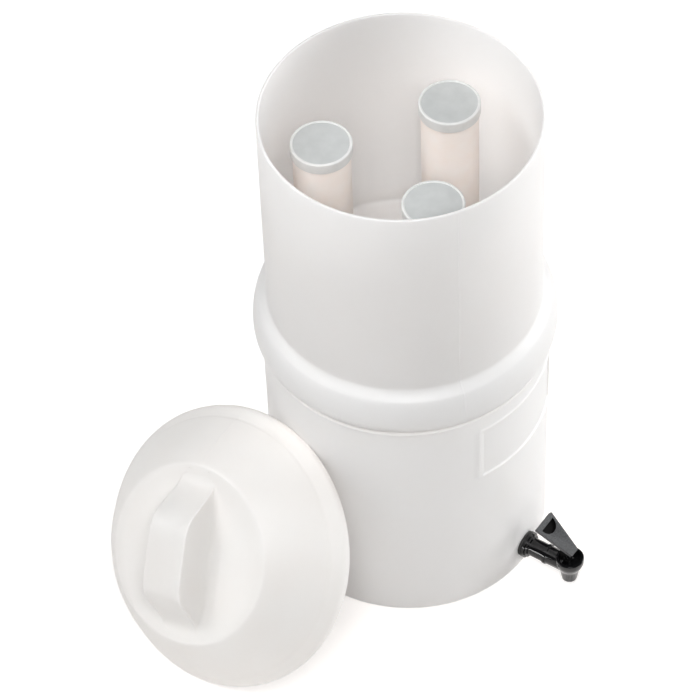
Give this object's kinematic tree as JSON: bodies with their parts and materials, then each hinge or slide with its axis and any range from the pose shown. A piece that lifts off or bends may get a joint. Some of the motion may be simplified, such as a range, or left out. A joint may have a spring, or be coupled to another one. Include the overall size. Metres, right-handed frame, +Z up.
{
  "type": "gravity water filter",
  "caption": "Gravity water filter: a container with ceramic candles stacked on a container with a press tap, and a domed lid with a moulded grip leaning beside it.",
  "frame": {"origin": "centre of the lower container's flat base, on the floor", "axes": "+Z up along the containers' common axis, the tap points along -Y, +X to the right seen from the tap"},
  "size_m": [0.4608, 0.4011, 0.555],
  "materials": {
    "shell": "matt translucent white",
    "ceramic": "matt fired ceramic",
    "cap": "satin light grey",
    "rubber": "matt",
    "tap": "gloss black",
    "steel": "bright"
  },
  "bodies": {
    "base": {"lower_container": "shell", "tap_body": "tap", "tap_outer_washer": "rubber", "tap_inner_washer": "rubber", "tap_lock_nut": "tap", "tap_bonnet": "tap", "tap_lever_pin": "steel"},
    "upper_unit": {"upper_container": "shell", "candle_1_ceramic": "ceramic", "candle_1_top_cap": "cap", "candle_1_base": "cap", "candle_1_washer": "rubber", "candle_1_wing_nut": "cap", "candle_2_ceramic": "ceramic", "candle_2_top_cap": "cap", "candle_2_base": "cap", "candle_2_washer": "rubber", "candle_2_wing_nut": "cap", "candle_3_ceramic": "ceramic", "candle_3_top_cap": "cap", "candle_3_base": "cap", "candle_3_washer": "rubber", "candle_3_wing_nut": "cap"},
    "loose_lid": {"lid": "shell"},
    "lever": {"tap_lever": "tap"},
    "valve": {"tap_valve_stem": "tap", "tap_valve_seal": "rubber", "tap_spring": "steel"}
  },
  "joints": [
    {"name": "upper_lift", "type": "slide", "parent": "base", "child": "upper_unit", "axis": [0, 0, 1], "range_m": [0, 0.3]},
    {"name": "lid_take", "type": "slide", "parent": "base", "child": "loose_lid", "axis": [-0.7971, 0.112, 0.5934], "range_m": [0, 0.25]},
    {"name": "lever_press", "type": "hinge", "parent": "base", "child": "lever", "pos_m": [0, -0.17976, 0.037], "axis": [-1, 0, 0], "range_deg": [0, 22], "stiffness_Nm_per_rad": 0.06, "springref_deg": -14.32},
    {"name": "valve_lift", "type": "slide", "parent": "base", "child": "valve", "axis": [0, 0, 1], "range_m": [0, 0.0021]}
  ],
  "couplings": [
    {"joint": "valve_lift", "follows": "lever_press", "m_per_rad": 0.0052}
  ]
}
